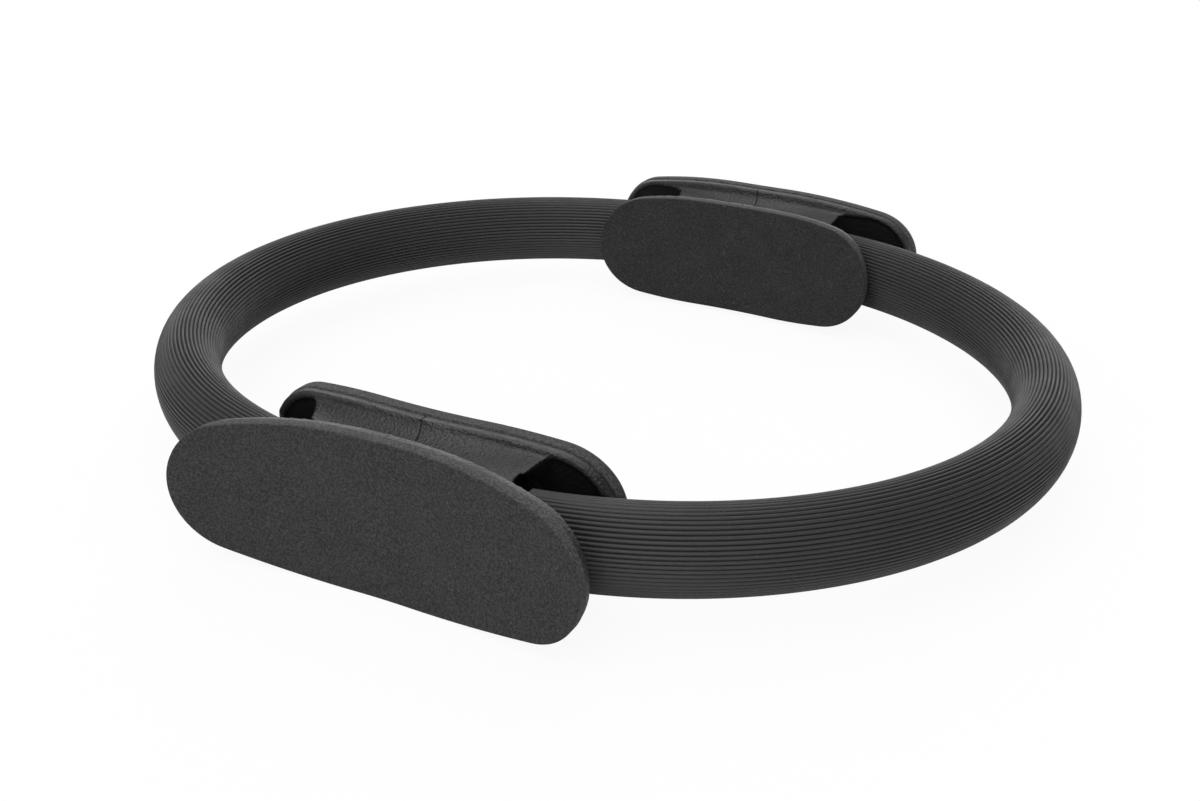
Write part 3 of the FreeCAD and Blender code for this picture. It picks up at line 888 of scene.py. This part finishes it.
def light_room(studio):
    """Even light from all round; the camera sees it as white."""
    world = bpy.data.worlds.new("studio")
    world.use_nodes = True
    tree = world.node_tree
    even = tree.nodes["Background"]
    even.inputs["Color"].default_value = (1, 1, 1, 1)
    even.inputs["Strength"].default_value = studio.sky
    white = add_node(tree, "ShaderNodeBackground", {"Color": (1, 1, 1, 1), "Strength": 1.0})
    seen = add_node(tree, "ShaderNodeLightPath").outputs["Is Camera Ray"]
    mixed = add_node(tree, "ShaderNodeMixShader", {0: seen, 1: even.outputs[0], 2: white.outputs[0]})
    tree.links.new(mixed.outputs[0], tree.nodes["World Output"].inputs["Surface"])
    bpy.context.scene.world = world


def away(azimuth, elevation):
    """Direction from the ring to a place seen at an azimuth and elevation."""
    across = math.cos(elevation)
    return Vector((math.sin(azimuth) * across, -math.cos(azimuth) * across, math.sin(elevation)))


def add_lamp(name, lamp):
    """Distant soft lamp."""
    data = bpy.data.lights.new(name, "SUN")
    data.energy = lamp.strength
    data.angle = lamp.spread
    holder = bpy.data.objects.new(name, data)
    holder.rotation_euler = away(lamp.azimuth, lamp.elevation).to_track_quat("Z", "Y").to_euler()
    bpy.context.scene.collection.objects.link(holder)


def add_camera(studio):
    """Camera at its place round the ring, looking at its target."""
    data = bpy.data.cameras.new("camera")
    data.lens = studio.lens
    data.sensor_width = 36.0
    data.clip_start = 0.01
    data.clip_end = 100.0
    camera = bpy.data.objects.new("camera", data)
    back = away(studio.azimuth, studio.elevation)
    camera.location = Vector(studio.target) + back * studio.distance
    camera.rotation_mode = "QUATERNION"
    camera.rotation_quaternion = (-back).to_track_quat("-Z", "Y") @ Quaternion(UP, studio.roll)
    bpy.context.scene.collection.objects.link(camera)
    bpy.context.scene.camera = camera


class PILATES_OT_stage(bpy.types.Operator):
    """Set up the floor, the lights and the camera"""

    bl_idname = "pilates_ring.stage"
    bl_label = "Studio"

    def execute(self, context):
        ring = settings()
        add_floor(ring.studio)
        light_room(ring.studio)
        for name in ("overhead_lamp", "front_lamp", "back_lamp"):
            add_lamp(name, getattr(ring, name))
        add_camera(ring.studio)
        context.scene.view_settings.view_transform = "Standard"
        return {"FINISHED"}


OPERATORS = (
    PILATES_OT_foam_pads,
    PILATES_OT_sleeves,
    PILATES_OT_bands,
    PILATES_OT_shells,
    PILATES_OT_hardware,
    PILATES_OT_stage,
)


class PILATES_PT_sidebar(bpy.types.Panel):
    """Sizes, colours and steps of the pilates ring"""

    bl_idname = "PILATES_PT_sidebar"
    bl_label = "Pilates Ring"
    bl_space_type = "VIEW_3D"
    bl_region_type = "UI"
    bl_category = "Pilates Ring"

    def draw(self, context):
        ring = context.scene.pilates_ring
        groups = {
            "Half hoops": ring.hoop,
            "Outer pads": ring.outer,
            "Inner pads": ring.inner,
            "Shells": ring.shell,
            "Finishes": ring.finish,
            "Overhead lamp": ring.overhead_lamp,
            "Front lamp": ring.front_lamp,
            "Back lamp": ring.back_lamp,
            "Studio": ring.studio,
        }
        for title, group in groups.items():
            box = self.layout.box()
            box.label(text=title)
            for name in group.bl_rna.properties.keys():
                if name not in ("rna_type", "name"):
                    box.prop(group, name)
        for operator in OPERATORS:
            self.layout.operator(operator.bl_idname)


CLASSES = (
    PILATES_PG_hoop,
    PILATES_PG_pad,
    PILATES_PG_shell,
    PILATES_PG_finish,
    PILATES_PG_lamp,
    PILATES_PG_studio,
    PILATES_PG_ring,
    *OPERATORS,
    PILATES_PT_sidebar,
)


def register():
    for cls in CLASSES:
        bpy.utils.register_class(cls)
    bpy.types.Scene.pilates_ring = bpy.props.PointerProperty(type=PILATES_PG_ring)


def unregister():
    del bpy.types.Scene.pilates_ring
    for cls in reversed(CLASSES):
        bpy.utils.unregister_class(cls)


def main():
    register()
    for group, values in OTHER_VALUES.items():
        for name, value in values.items():
            setattr(getattr(settings(), group), name, value)
    bpy.ops.pilates_ring.foam_pads()
    bpy.ops.pilates_ring.sleeves()
    bpy.ops.pilates_ring.bands()
    bpy.ops.pilates_ring.shells()
    bpy.ops.pilates_ring.hardware()
    bpy.ops.pilates_ring.stage()
    bpy.context.view_layer.update()


if __name__ == "__main__":
    main()
